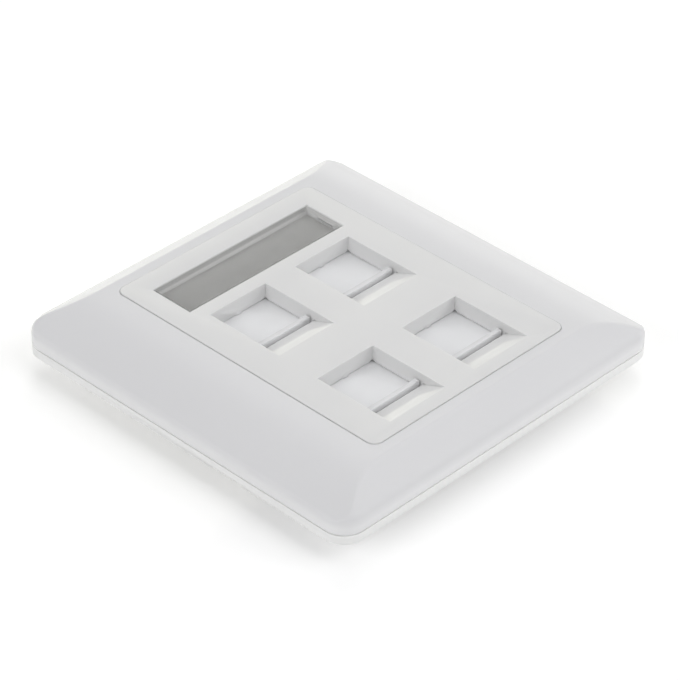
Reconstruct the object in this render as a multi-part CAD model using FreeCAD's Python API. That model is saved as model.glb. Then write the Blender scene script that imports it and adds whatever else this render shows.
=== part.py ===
"""Square four-port keystone faceplate with sliding dust shutters and a clip-on cover frame.

The plate lies in the XY plane with its back on the wall plane Z = 0 and its face towards +Z.
+Y points to the label window, +X to the right when the plate is seen from the front.
The origin is the centre of the back. All sizes are millimetres.
"""
import FreeCAD, Part
import math
import os

from FreeCAD import Vector

# ---- Overall plate -----------------------------------------------------------------
PLATE_WIDTH = 86.0            # outer side along X
PLATE_LENGTH = 86.0           # outer side along Y
PLAN_CORNER_R = 4.7           # rounding of the four outer corners, seen from the front
FACE_Z = 9.8                  # face of the centre panel above the wall
RIM_HEIGHT = 1.85             # thickness of the base flange, seen as a thin rim
RIM_SEAM = 0.25               # open seam between the rim and the cover frame

# ---- Cover frame ------------------------------------------------------------------
COVER_WALL = 1.8              # wall of the cover shell
SIDE_WALL_TOP = 3.9           # where the left and right walls turn over
SIDE_ROUND_R = 1.32           # small round above the left and right walls
SIDE_ARC_SHARE = 0.793        # share of the side slope that is the long convex arc
END_WALL_TOP = 3.95           # where the top and bottom walls turn over
END_ROUND_R = 3.36            # large round above the top and bottom walls
END_ROUND_ANGLE = 40.0        # slope at which the large round meets the end bevel, degrees
END_FLAT = 2.2                # flat strip between the panel opening and the end bevel
SKIRT_DEPTH = 3.0             # skirt below the shell, around the panel opening
SKIRT_WALL = 1.2

# ---- Keystone jacks -----------------------------------------------------------------
JACK_WIDTH = 14.9             # clear width for a keystone jack
JACK_FRONT_LENGTH = 16.5      # front opening of the holder
LIP_LOW = 1.65                # front lip below the jack
LIP_HIGH = 3.95               # front lip above the jack
LATCH_LEDGE = 2.2             # rear ledge that the jack's latch hooks over
PORT_LAP = 0.025              # the port is this much narrower than the jack, each side
JACK_CENTRE = 6.55            # port's top edge to the jack's centre line

# ---- Jack frames, the holders behind the ports -----------------------------------------
FRAME_DEPTH = 10.0            # front lip to rear rim
FRAME_LIP = 1.8               # thickness of the front lip and of the rear ledge
FRAME_WALL = 1.5
RAIL_WALL = 1.0               # upright rails that guide the shutter
RAIL_GAP = 0.2                # rail to spring, and rail to shutter ear
RAIL_TOP_GAP = 0.1            # rail to the underside of the label tray
SPRING_STOP_WALL = 0.9
ROW_GAP = 3.4                 # between the upper and the lower frames
SNAP_REACH = 0.45             # snap bumps that hold the frame
SNAP_LENGTH = 3.0
SNAP_HEIGHT = 1.2
SNAP_PITCH = 12.0
SNAP_CLEARANCE = 0.12
RIB_GAP = 0.24                # frame's sides to the ribs that hold it
RIB_FOOT_Z = 1.5
RIB_WALL = 1.3
CENTRE_RIB = 1.8

# ---- Shutters ---------------------------------------------------------------------
SHUTTER_T = 1.2
SLIDE_GAP = 0.2               # shutter's back to the jack frame
SHUTTER_LAP = 0.3             # how far the shutter reaches under the side walls
SHUTTER_HEAD = 1.2            # how far the shutter reaches under the top wall
SHUTTER_TAIL = 0.7            # how far the shutter reaches under the ramp
BAR_START = 11.3              # port's top edge to the finger bar
BAR_WIDTH = 1.1
BAR_HEIGHT = 2.2
BAR_ROUND_R = 0.28            # rounding of the bar's top edges
BAR_END_GAP = 0.45            # bar's ends to the opening's walls
EAR_T = 0.8                   # thin guiding ears at the shutter's sides
EAR_REACH = 0.375             # ear beyond the shutter's side
ARM_START = 8.0               # port's top edge to the spring arm
ARM_WIDTH = 1.4

# ---- Return springs -----------------------------------------------------------------
SPRING_DIAMETER = 1.6         # outside
SPRING_WIRE = 0.25
SPRING_TURNS = 9
SPRING_SIDES = 10             # straight pieces in each turn of the wire
SPRING_SIDE_GAP = 0.5         # spring to the shutter's ear
SPRING_REACH = 6.25           # spring's fixed end beyond the port's top edge
SPRING_GAP = 0.05             # clearance at each end of the spring and below it
SPRING_ROOF_GAP = 0.15        # spring to the label tray above it
SEAT_PIN_R = 0.4
SEAT_PIN_LENGTH = 1.0

# ---- Ports ------------------------------------------------------------------------
BAR_FOOT_GAP = 0.55           # finger bar to the foot of the ramp
RAMP_RUN = 5.58               # length of the ramp, seen from the front
RAMP_GAP = 0.3                # shutter to the skin under the ramp
RAMP_SKIN = 1.0               # wall left under the foot of the ramp
COLLAR_WALL = 0.8             # collar around each opening, on the underside
COLLAR_GAP = 0.15             # shutter's face up to the collar's lower edge
NOTCH_RUN = 0.9               # relief at the corner of the top and the right wall
NOTCH_RISE = 0.7
GUIDE_WIDTH = 1.2             # small wedge in the middle of the top wall
GUIDE_RISE = 0.7
GUIDE_REACH = 0.25

# ---- Centre panel -----------------------------------------------------------------
PANEL_SIDE = 7.285            # panel's side edge to the nearest port
PANEL_FOOT = 2.92             # panel's lower edge to the lower ports
PANEL_HEAD = 4.66             # panel's upper edge to the label
PANEL_CORNER_R = 1.9
PANEL_GAP = 0.2               # seam between panel and cover frame, each side
PANEL_WALL = 1.6              # side walls of the hollow pedestal under the panel
PANEL_SKIN = 2.0              # thickness of the panel's face

# ---- Label ------------------------------------------------------------------------
LABEL_WIDTH = 42.2
LABEL_LENGTH = 10.3
LABEL_TO_PORT = 3.29          # label's lower edge to the upper ports
LABEL_DEPTH = 2.3             # panel's face to the floor of the pocket
TRAY_FLOOR = 0.9
TRAY_WALL = 1.3
CARD_T = 0.2
WINDOW_T = 1.0
WINDOW_GAP = 0.12
WINDOW_BEVEL = 0.35
TAB_REACH = 0.6
TAB_LENGTH = 4.0
TAB_HEIGHT = 0.4
TAB_CLEARANCE = 0.1

# ---- Base details -----------------------------------------------------------------
SCREW_PITCH = 60.3            # centres of the two wall-box screws
SLOT_WIDTH = 4.2
SLOT_LENGTH = 7.5
PAD_LENGTH = 12.0
PAD_REACH = 10.0
PAD_TOP_Z = 3.2
RING_WALL = 1.0               # upstand that centres the cover frame
RING_TOP_Z = 2.7
RING_GAP = 0.2
HOOK_PITCH = 44.0             # cover hooks, two on each end
HOOK_LENGTH = 8.0
HOOK_WALL = 1.2
HOOK_TOP_Z = 4.6
HOOK_NOSE = 0.7
HOOK_NOSE_HEIGHT = 0.85
BEAD_REACH = 0.7
BEAD_HEIGHT = 0.7
BEAD_GAP = 0.15
BEAD_RUN = 0.4                # bead's tip to the hook's stem
PRY_LENGTH = 8.0              # pry slot under the left edge
PRY_HEIGHT = 0.35
PRY_DEPTH = 2.5
PRY_Y = -13.2

# ---- Values that follow ---------------------------------------------------------------
HALF_W = PLATE_WIDTH / 2
HALF_L = PLATE_LENGTH / 2
COVER_BOTTOM = RIM_HEIGHT + RIM_SEAM
SKIN_Z = FACE_Z - PANEL_SKIN
HOOK_STEM = HALF_L - COVER_WALL - BEAD_REACH - BEAD_RUN

LABEL_FLOOR_Z = FACE_Z - LABEL_DEPTH
TRAY_BACK_Z = LABEL_FLOOR_Z - TRAY_FLOOR
RAIL_TOP_Z = TRAY_BACK_Z - RAIL_TOP_GAP
FRAME_FRONT_Z = TRAY_BACK_Z - SPRING_ROOF_GAP - SPRING_DIAMETER - SPRING_GAP
FRAME_REAR_Z = FRAME_FRONT_Z - FRAME_DEPTH
SNAP_Z = FRAME_FRONT_Z - (FRAME_LIP + SNAP_HEIGHT) / 2
SPRING_Z = FRAME_FRONT_Z + SPRING_GAP + SPRING_DIAMETER / 2
SHUTTER_BACK_Z = FRAME_FRONT_Z + SLIDE_GAP
SHUTTER_Z = SHUTTER_BACK_Z + SHUTTER_T
BAR_TOP_Z = SHUTTER_Z + BAR_HEIGHT
COLLAR_Z = SHUTTER_Z + COLLAR_GAP
RAMP_FOOT_Z = SHUTTER_Z + RAMP_GAP + RAMP_SKIN

JACK_HALF = JACK_WIDTH / 2
PORT_WIDTH = JACK_WIDTH - 2 * PORT_LAP
SHUTTER_HALF = PORT_WIDTH / 2 + SHUTTER_LAP
EAR_HALF = SHUTTER_HALF + EAR_REACH
SPRING_OFFSET = EAR_HALF + SPRING_SIDE_GAP + SPRING_DIAMETER / 2
FRAME_RIGHT = EAR_HALF + RAIL_GAP + RAIL_WALL
FRAME_LEFT = SPRING_OFFSET + SPRING_DIAMETER / 2 + RAIL_GAP + RAIL_WALL
PORT_PITCH_X = FRAME_RIGHT + FRAME_LEFT + 2 * RIB_GAP + CENTRE_RIB

RAMP_FOOT = BAR_START + BAR_WIDTH + BAR_FOOT_GAP
PORT_LENGTH = RAMP_FOOT + RAMP_RUN
JACK_BAY_LENGTH = LIP_LOW + JACK_FRONT_LENGTH + LIP_HIGH
JACK_REAR_LENGTH = JACK_BAY_LENGTH - LATCH_LEDGE
JACK_BAY_LOW = JACK_FRONT_LENGTH / 2 + LIP_LOW
FRAME_LENGTH = JACK_BAY_LENGTH + 2 * FRAME_WALL
PORT_PITCH_Y = FRAME_LENGTH + ROW_GAP

PANEL_WIDTH = PORT_PITCH_X + PORT_WIDTH + 2 * PANEL_SIDE
PANEL_LENGTH = (PANEL_FOOT + PORT_LENGTH + PORT_PITCH_Y + LABEL_TO_PORT
                + LABEL_LENGTH + PANEL_HEAD)
LABEL_LOW_Y = PANEL_LENGTH / 2 - PANEL_HEAD - LABEL_LENGTH
PORT_TOP_Y = LABEL_LOW_Y - LABEL_TO_PORT
OPEN_HALF_W = PANEL_WIDTH / 2 + PANEL_GAP
OPEN_HALF_L = PANEL_LENGTH / 2 + PANEL_GAP
OPEN_CORNER_R = PANEL_CORNER_R + PANEL_GAP

FAR = 100.0                   # beyond the plate on either side, for shapes that cross it
PAST = 1.0                    # how far a cutting shape runs past what it cuts
MELD = 0.5                    # how far joined shapes run into each other


def box(x0, x1, y0, y1, z0, z1):
    """Block between two corners."""
    return Part.makeBox(x1 - x0, y1 - y0, z1 - z0, Vector(x0, y0, z0))


def rounded_slab(half_x, half_y, radius, z0, z1):
    """Slab centred on the origin with rounded vertical edges."""
    slab = box(-half_x, half_x, -half_y, half_y, z0, z1)
    upright = [e for e in slab.Edges if abs(e.Vertexes[0].Z - e.Vertexes[1].Z) > 1e-6]
    return slab.makeFillet(radius, upright)


def slot(half_length, radius, z0, z1, centre):
    """Slot along X with round ends."""
    body = box(-half_length + radius, half_length - radius, -radius, radius, z0, z1)
    for side in (-1, 1):
        end = Vector(side * (half_length - radius), 0, z0)
        body = body.fuse(Part.makeCylinder(radius, z1 - z0, end))
    body.translate(centre)
    return body


def prism(points, direction):
    """Straight prism from a closed outline of points."""
    face = Part.Face(Part.makePolygon(points + points[:1]))
    return face.extrude(direction)


def prism_along_x(outline, x0, x1):
    """Prism along X from (y, z) points."""
    return prism([Vector(x0, y, z) for y, z in outline], Vector(x1 - x0, 0, 0))


def prism_along_y(outline, y0, y1):
    """Prism along Y from (x, z) points."""
    return prism([Vector(x, y0, z) for x, z in outline], Vector(0, y1 - y0, 0))


def mirrored(outline):
    """Outline of one half, given from the outside in, closed by its mirror image."""
    return outline + [(-a, z) for a, z in reversed(outline)]


def fused(shapes):
    """One solid from several that touch or overlap."""
    return shapes[0].multiFuse(shapes[1:]).removeSplitter()


def ports():
    """(number, centre x, top edge y) of each port, left to right and top to bottom."""
    places = []
    for row in range(2):
        for column in (-1, 1):
            x = column * PORT_PITCH_X / 2
            places.append((len(places) + 1, x, PORT_TOP_Y - row * PORT_PITCH_Y))
    return places


# ---- Cover frame ------------------------------------------------------------------
def side_round_end(slope):
    """Where the small side round turns into a straight slope of the given angle."""
    return (HALF_W - SIDE_ROUND_R * (1 - math.sin(slope)),
            SIDE_WALL_TOP + SIDE_ROUND_R * math.cos(slope))


def side_profile():
    """Points of the side crown (end of the round, end of the arc), arc radius and slope.

    The arc starts level at the panel opening. The slope is the one at which the arc, the
    straight part and the small round run into each other without a kink.
    """
    arc_run = SIDE_ARC_SHARE * (HALF_W - OPEN_HALF_W)
    low, high = 0.0, math.pi / 2
    for _ in range(60):
        slope = (low + high) / 2
        xe, ze = side_round_end(slope)
        straight = xe - OPEN_HALF_W - arc_run
        fall = arc_run * math.tan(slope / 2) + straight * math.tan(slope)
        if fall < FACE_Z - ze:
            low = slope
        else:
            high = slope
    radius = arc_run / math.sin(slope)
    arc_end = (OPEN_HALF_W + arc_run, FACE_Z - arc_run * math.tan(slope / 2))
    return (xe, ze), arc_end, radius, slope


def crown_prism():
    """Outer shape across the plate: upright walls, small rounds and broad convex slopes."""
    (xe, ze), (xa, za), radius, slope = side_profile()
    round_mid = side_round_end((slope + math.pi / 2) / 2)
    arc_mid = (OPEN_HALF_W + radius * math.sin(slope / 2),
               FACE_Z - radius * (1 - math.cos(slope / 2)))

    def at(x, z):
        return Vector(x, -FAR, z)

    edges = []
    for side in (-1, 1):
        wall_foot = at(side * HALF_W, COVER_BOTTOM)
        wall_top = at(side * HALF_W, SIDE_WALL_TOP)
        slope_low = at(side * xe, ze)
        slope_high = at(side * xa, za)
        crown = at(side * OPEN_HALF_W, FACE_Z)
        edges += [
            Part.makeLine(wall_foot, wall_top),
            Part.Arc(wall_top, at(side * round_mid[0], round_mid[1]), slope_low).toShape(),
            Part.makeLine(slope_low, slope_high),
            Part.Arc(slope_high, at(side * arc_mid[0], arc_mid[1]), crown).toShape(),
        ]
    edges.append(Part.makeLine(at(-OPEN_HALF_W, FACE_Z), at(OPEN_HALF_W, FACE_Z)))
    edges.append(Part.makeLine(at(-HALF_W, COVER_BOTTOM), at(HALF_W, COVER_BOTTOM)))
    wire = Part.Wire(Part.__sortEdges__(edges))
    return Part.Face(wire).extrude(Vector(0, 2 * FAR, 0))


def end_bevel():
    """Place where the end's large round turns into the bevel, and the bevel's slope."""
    angle = math.radians(END_ROUND_ANGLE)
    y = HALF_L - END_ROUND_R * (1 - math.sin(angle))
    z = END_WALL_TOP + END_ROUND_R * math.cos(angle)
    slope = (FACE_Z - z) / (y - OPEN_HALF_L - END_FLAT)
    return y, z, slope


def bevel_prism(lowered):
    """Roof along X whose slopes are the end bevels, set lower by the given wall."""
    y, z, slope = end_bevel()
    drop = lowered * math.hypot(1, slope)
    low = (HALF_L + PAST, z - drop - slope * (HALF_L + PAST - y))
    ridge = (OPEN_HALF_L, z - drop + slope * (y - OPEN_HALF_L))
    outline = mirrored([(low[0], COVER_BOTTOM - PAST), low, ridge])
    return prism_along_x(outline, -FAR, FAR)


def rounded_block():
    """Outer block whose top edge is rounded all round, open upwards inside that round."""
    low = rounded_slab(HALF_W, HALF_L, PLAN_CORNER_R, COVER_BOTTOM, END_WALL_TOP + END_ROUND_R)
    top = low.BoundBox.ZMax
    rim = [e for e in low.Edges if all(abs(v.Z - top) < 1e-6 for v in e.Vertexes)]
    low = low.makeFillet(END_ROUND_R, rim)
    inset = END_ROUND_R * (1 - math.sin(math.radians(END_ROUND_ANGLE))) + MELD
    high = rounded_slab(HALF_W - inset, HALF_L - inset, PLAN_CORNER_R - inset,
                        COVER_BOTTOM, FACE_Z + PAST)
    return low.fuse(high)


def cover_cavity():
    """Space inside the cover shell, one wall thickness below its outer shape."""
    wall = COVER_WALL
    (xe, ze), (xa, za), _, slope = side_profile()
    side = HALF_W - wall
    eave_z = ze - wall * math.cos(slope) + math.tan(slope) * (xe - wall * math.sin(slope) - side)
    outline = mirrored([
        (side, COVER_BOTTOM - PAST),
        (side, eave_z),
        (xa - wall * math.sin(slope), za - wall * math.cos(slope)),
        (OPEN_HALF_W, FACE_Z - wall),
    ])
    across = prism_along_y(outline, -FAR, FAR)
    plan = rounded_slab(side, HALF_L - wall, PLAN_CORNER_R - wall, COVER_BOTTOM - PAST, FACE_Z)
    return plan.common(across).common(bevel_prism(wall))


def hook_places():
    """(x, end) of the snap hooks: two at each end of the plate."""
    return [(x, end) for end in (-1, 1) for x in (-HOOK_PITCH / 2, HOOK_PITCH / 2)]


def cover_frame():
    """Glossy clip-on frame around the panel: one hollow moulding with a skirt and snap beads."""
    shell = crown_prism().common(bevel_prism(0)).common(rounded_block())
    shell = shell.cut(cover_cavity())
    skirt = rounded_slab(OPEN_HALF_W + SKIRT_WALL, OPEN_HALF_L + SKIRT_WALL,
                         OPEN_CORNER_R + SKIRT_WALL,
                         FACE_Z - COVER_WALL - SKIRT_DEPTH, FACE_Z - COVER_WALL + MELD)
    pieces = [shell, skirt]
    inner = HALF_L - COVER_WALL
    top = HOOK_TOP_Z - HOOK_NOSE_HEIGHT - BEAD_GAP
    for x, end in hook_places():
        low, high = sorted((end * (inner - BEAD_REACH), end * (inner + MELD)))
        pieces.append(box(x - HOOK_LENGTH / 2, x + HOOK_LENGTH / 2, low, high,
                          top - BEAD_HEIGHT, top))
    opening = rounded_slab(OPEN_HALF_W, OPEN_HALF_L, OPEN_CORNER_R, 0, FACE_Z + PAST)
    return fused(pieces).cut(opening)


# ---- Base plate ---------------------------------------------------------------------
def flange():
    """Flat back flange with its visible rim, centring ring, screw pads and cover hooks."""
    pieces = [rounded_slab(HALF_W, HALF_L, PLAN_CORNER_R, 0, RIM_HEIGHT)]
    ring_x = HALF_W - COVER_WALL - RING_GAP
    ring_y = HALF_L - COVER_WALL - RING_GAP
    ring_r = PLAN_CORNER_R - COVER_WALL - RING_GAP
    ring = rounded_slab(ring_x, ring_y, ring_r, 0, RING_TOP_Z)
    inside = rounded_slab(ring_x - RING_WALL, ring_y - RING_WALL, ring_r - RING_WALL,
                          -PAST, RING_TOP_Z + PAST)
    pieces.append(ring.cut(inside))
    for side in (-1, 1):
        near = side * (PANEL_WIDTH / 2 - MELD)
        far = side * (PANEL_WIDTH / 2 + PAD_REACH)
        pieces.append(box(min(near, far), max(near, far), -PAD_LENGTH / 2, PAD_LENGTH / 2,
                          RIM_HEIGHT - MELD, PAD_TOP_Z))
    for x, end in hook_places():
        stem = sorted((end * HOOK_STEM, end * (HOOK_STEM - HOOK_WALL)))
        nose = sorted((end * (HOOK_STEM - HOOK_WALL), end * (HOOK_STEM + HOOK_NOSE)))
        pieces.append(box(x - HOOK_LENGTH / 2, x + HOOK_LENGTH / 2, stem[0], stem[1],
                          RIM_HEIGHT - MELD, HOOK_TOP_Z))
        pieces.append(box(x - HOOK_LENGTH / 2, x + HOOK_LENGTH / 2, nose[0], nose[1],
                          HOOK_TOP_Z - HOOK_NOSE_HEIGHT, HOOK_TOP_Z))
    return pieces


def pedestal_cavity(top):
    """Space inside the pedestal's walls, up to the given height."""
    half_x = PANEL_WIDTH / 2 - PANEL_WALL
    half_y = PANEL_LENGTH / 2 - PANEL_WALL
    return box(-half_x, half_x, -half_y, half_y, -PAST, top)


def port_collar(x, top_y):
    """Collar round one opening and the sloping skin under its ramp."""
    half = PORT_WIDTH / 2 + COLLAR_WALL
    foot_y = top_y - RAMP_FOOT
    end_y = top_y - PORT_LENGTH
    slope = (FACE_Z - RAMP_FOOT_Z) / (foot_y - end_y)
    under_z = RAMP_FOOT_Z - RAMP_SKIN
    under_y = foot_y - (SKIN_Z - under_z) / slope
    ramp = prism_along_x([(foot_y, under_z), (foot_y, RAMP_FOOT_Z), (end_y, FACE_Z),
                          (end_y - MELD, FACE_Z), (end_y - MELD, SKIN_Z), (under_y, SKIN_Z)],
                         x - half, x + half)
    collar = box(x - half, x + half, foot_y, top_y + COLLAR_WALL, COLLAR_Z, SKIN_Z + MELD)
    return [ramp, collar]


def port_opening(x, top_y):
    """What is cut away for one opening: the shaft, the ramp and the relief in one corner."""
    half = PORT_WIDTH / 2
    foot_y = top_y - RAMP_FOOT
    end_y = top_y - PORT_LENGTH
    inside_y = foot_y + PAST
    guide = prism_along_x([(top_y + PAST, COLLAR_Z), (top_y - GUIDE_REACH, COLLAR_Z),
                           (top_y, COLLAR_Z + GUIDE_RISE), (top_y + PAST, COLLAR_Z + GUIDE_RISE)],
                          x - GUIDE_WIDTH / 2, x + GUIDE_WIDTH / 2)
    shaft = box(x - half, x + half, foot_y, top_y, 0, FACE_Z + PAST).cut(guide)
    ramp = prism_along_x([(inside_y, RAMP_FOOT_Z), (foot_y, RAMP_FOOT_Z), (end_y, FACE_Z),
                          (end_y, FACE_Z + PAST), (inside_y, FACE_Z + PAST)], x - half, x + half)
    low_z = COLLAR_Z - PAST
    high_z = COLLAR_Z + NOTCH_RISE
    run = NOTCH_RUN * (NOTCH_RISE + PAST) / NOTCH_RISE
    in_top_wall = prism_along_y([(x + half, low_z), (x + half, high_z), (x + half - run, low_z)],
                                top_y - PAST, top_y + COLLAR_WALL + PAST)
    in_side_wall = prism_along_x([(top_y, low_z), (top_y, high_z), (top_y - run, low_z)],
                                 x + half - PAST, x + half + COLLAR_WALL + PAST)
    return [shaft, ramp, in_top_wall, in_side_wall]


def rib_spans():
    """(low x, high x) of the three ribs that hold the jack frames by their snap bumps."""
    left_column = -PORT_PITCH_X / 2
    right_column = PORT_PITCH_X / 2
    wall = PANEL_WIDTH / 2 - MELD
    inner_right = left_column + FRAME_RIGHT + RIB_GAP
    inner_left = right_column - FRAME_LEFT - RIB_GAP
    outer_left = left_column - FRAME_LEFT - RIB_GAP
    outer_right = right_column + FRAME_RIGHT + RIB_GAP
    return [(-wall, outer_left), (inner_right, inner_left), (outer_right, outer_right + RIB_WALL)]


def snap_places(top_y):
    """Centre y of a frame's two snap bumps on each side."""
    centre = sum(frame_span(top_y)) / 2
    return [centre - SNAP_PITCH / 2, centre + SNAP_PITCH / 2]


def frame_span(top_y):
    """(low y, high y) of a jack frame."""
    low = top_y - JACK_CENTRE - JACK_BAY_LOW - FRAME_WALL
    return low, low + FRAME_LENGTH


def frame_ribs():
    """Three long ribs under the panel's face, with a window for every snap bump."""
    low = frame_span(PORT_TOP_Y - PORT_PITCH_Y)[0]
    high = frame_span(PORT_TOP_Y)[1]
    ribs = [box(x0, x1, low, high, RIB_FOOT_Z, SKIN_Z + MELD) for x0, x1 in rib_spans()]
    windows = []
    half = SNAP_LENGTH / 2 + SNAP_CLEARANCE
    z0 = SNAP_Z - SNAP_CLEARANCE
    z1 = SNAP_Z + SNAP_HEIGHT + SNAP_CLEARANCE
    reach = PANEL_WIDTH / 2 - PANEL_WALL
    for row in range(2):
        for y in snap_places(PORT_TOP_Y - row * PORT_PITCH_Y):
            windows.append(box(-reach, reach, y - half, y + half, z0, z1))
    return ribs, windows


def label_tray():
    """Shallow tray under the label opening."""
    return box(-LABEL_WIDTH / 2 - TRAY_WALL, LABEL_WIDTH / 2 + TRAY_WALL,
               LABEL_LOW_Y - TRAY_WALL, LABEL_LOW_Y + LABEL_LENGTH + TRAY_WALL,
               TRAY_BACK_Z, SKIN_Z + MELD)


def label_recess():
    """Label opening with undercuts for the window's two end tabs."""
    half = LABEL_WIDTH / 2
    mid_y = LABEL_LOW_Y + LABEL_LENGTH / 2
    opening = box(-half, half, LABEL_LOW_Y, LABEL_LOW_Y + LABEL_LENGTH,
                  LABEL_FLOOR_Z, FACE_Z + PAST)
    reach = half - WINDOW_GAP + TAB_REACH + TAB_CLEARANCE
    tab_y = TAB_LENGTH / 2 + TAB_CLEARANCE
    z0 = LABEL_FLOOR_Z + CARD_T - TAB_CLEARANCE
    undercut = box(-reach, reach, mid_y - tab_y, mid_y + tab_y, z0,
                   z0 + TAB_HEIGHT + 2 * TAB_CLEARANCE)
    return opening.fuse(undercut)


def base_plate():
    """Base flange, pedestal and panel face: one satin moulding."""
    ribs, windows = frame_ribs()
    body = fused(flange() + [rounded_slab(PANEL_WIDTH / 2, PANEL_LENGTH / 2,
                                          PANEL_CORNER_R, 0, FACE_Z)])
    body = body.cut(pedestal_cavity(SKIN_Z))
    details = list(ribs)
    for _, x, top_y in ports():
        details += port_collar(x, top_y)
    details.append(label_tray())
    body = fused([body] + details)
    cuts = windows + [label_recess()]
    for _, x, top_y in ports():
        cuts += port_opening(x, top_y)
    for side in (-1, 1):
        cuts.append(slot(SLOT_LENGTH / 2, SLOT_WIDTH / 2, -PAST, PAD_TOP_Z + PAST,
                         Vector(side * SCREW_PITCH / 2, 0, 0)))
    cuts.append(box(-HALF_W - PAST, -HALF_W + PRY_DEPTH, PRY_Y - PRY_LENGTH / 2,
                    PRY_Y + PRY_LENGTH / 2, -PAST, PRY_HEIGHT))
    for tool in cuts:
        body = body.cut(tool)
    return body


# ---- Shutters, springs and jack frames ---------------------------------------------------
def shutter(x, top_y):
    """Sliding dust shutter with finger bar, guiding ears and a spring arm, shown closed."""
    tail_y = top_y - RAMP_FOOT - SHUTTER_TAIL
    head_y = top_y + SHUTTER_HEAD
    plate = box(x - SHUTTER_HALF, x + SHUTTER_HALF, tail_y, head_y, SHUTTER_BACK_Z, SHUTTER_Z)
    ears = box(x - EAR_HALF, x + EAR_HALF, tail_y, head_y,
               SHUTTER_BACK_Z, SHUTTER_BACK_Z + EAR_T)
    bar_high = top_y - BAR_START
    bar_half = PORT_WIDTH / 2 - BAR_END_GAP
    bar = box(x - bar_half, x + bar_half, bar_high - BAR_WIDTH, bar_high,
              SHUTTER_BACK_Z, BAR_TOP_Z)
    crest = [e for e in bar.Edges if all(abs(v.Z - BAR_TOP_Z) < 1e-6 for v in e.Vertexes)]
    bar = bar.makeFillet(BAR_ROUND_R, crest)
    arm_y = top_y - ARM_START - ARM_WIDTH
    seat_x = x - SPRING_OFFSET
    arm = box(seat_x - SPRING_DIAMETER / 2, x - SHUTTER_HALF, arm_y, arm_y + ARM_WIDTH,
              SHUTTER_BACK_Z, SHUTTER_BACK_Z + EAR_T)
    seat = box(seat_x - SPRING_DIAMETER / 2, seat_x + SPRING_DIAMETER / 2,
               arm_y, arm_y + ARM_WIDTH, SHUTTER_BACK_Z, SPRING_Z + SPRING_DIAMETER / 2)
    pin = Part.makeCylinder(SEAT_PIN_R, SEAT_PIN_LENGTH + ARM_WIDTH,
                            Vector(seat_x, arm_y, SPRING_Z), Vector(0, 1, 0))
    return fused([plate, ears, bar, arm, seat, pin])


def spring(x, top_y):
    """Compression spring between the shutter's arm and the jack frame, a wound square wire."""
    half = SPRING_WIRE / 2
    y0 = top_y - ARM_START + SPRING_GAP + half
    y1 = top_y + SPRING_REACH - SPRING_GAP - half
    radius = SPRING_DIAMETER / 2 - half
    steps = SPRING_TURNS * SPRING_SIDES
    rings = []
    for step in range(steps + 1):
        turn = 2 * math.pi * step / SPRING_SIDES
        along = y0 + (y1 - y0) * step / steps
        corners = []
        for out, lift in ((-half, -half), (half, -half), (half, half), (-half, half)):
            reach = radius + out
            corners.append(Vector(x - SPRING_OFFSET + reach * math.cos(turn), along + lift,
                                  SPRING_Z + reach * math.sin(turn)))
        rings.append(Part.makePolygon(corners + corners[:1]))
    return Part.makeLoft(rings, True, True)


def jack_frame(x, top_y):
    """Keystone holder behind one port: bay with latch ledges, shutter rails and snap bumps."""
    y0, y1 = frame_span(top_y)
    centre_y = top_y - JACK_CENTRE
    bay_y0 = y0 + FRAME_WALL
    front = box(x - FRAME_LEFT, x + FRAME_RIGHT, y0, y1, FRAME_FRONT_Z - FRAME_LIP, FRAME_FRONT_Z)
    bay = box(x - JACK_HALF - FRAME_WALL, x + JACK_HALF + FRAME_WALL, y0, y1,
              FRAME_REAR_Z, FRAME_FRONT_Z)
    rails = [
        box(x - FRAME_LEFT, x - FRAME_LEFT + RAIL_WALL, y0, y1, FRAME_FRONT_Z - MELD, RAIL_TOP_Z),
        box(x + FRAME_RIGHT - RAIL_WALL, x + FRAME_RIGHT, y0, y1, FRAME_FRONT_Z - MELD, RAIL_TOP_Z),
    ]
    stop_y = top_y + SPRING_REACH
    stop = box(x - FRAME_LEFT, x - EAR_HALF - RAIL_GAP, stop_y, stop_y + SPRING_STOP_WALL,
               FRAME_FRONT_Z - MELD, RAIL_TOP_Z)
    bumps = []
    for y in snap_places(top_y):
        bumps.append(box(x - FRAME_LEFT - SNAP_REACH, x + FRAME_RIGHT + SNAP_REACH,
                         y - SNAP_LENGTH / 2, y + SNAP_LENGTH / 2,
                         SNAP_Z, SNAP_Z + SNAP_HEIGHT))
    body = fused([front, bay, stop] + rails + bumps)
    half = JACK_FRONT_LENGTH / 2
    body = body.cut(box(x - JACK_HALF, x + JACK_HALF, centre_y - half, centre_y + half,
                        FRAME_REAR_Z - PAST, FRAME_FRONT_Z + PAST))
    body = body.cut(box(x - JACK_HALF, x + JACK_HALF, bay_y0, bay_y0 + JACK_BAY_LENGTH,
                        FRAME_REAR_Z + FRAME_LIP, FRAME_FRONT_Z - FRAME_LIP))
    return body.cut(box(x - JACK_HALF, x + JACK_HALF, bay_y0, bay_y0 + JACK_REAR_LENGTH,
                        FRAME_REAR_Z - PAST, FRAME_REAR_Z + FRAME_LIP))


# ---- Label --------------------------------------------------------------------------
def label_card():
    """Plain paper insert."""
    gap = 2 * WINDOW_GAP
    return box(-LABEL_WIDTH / 2 + gap, LABEL_WIDTH / 2 - gap, LABEL_LOW_Y + gap,
               LABEL_LOW_Y + LABEL_LENGTH - gap, LABEL_FLOOR_Z, LABEL_FLOOR_Z + CARD_T)


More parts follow.
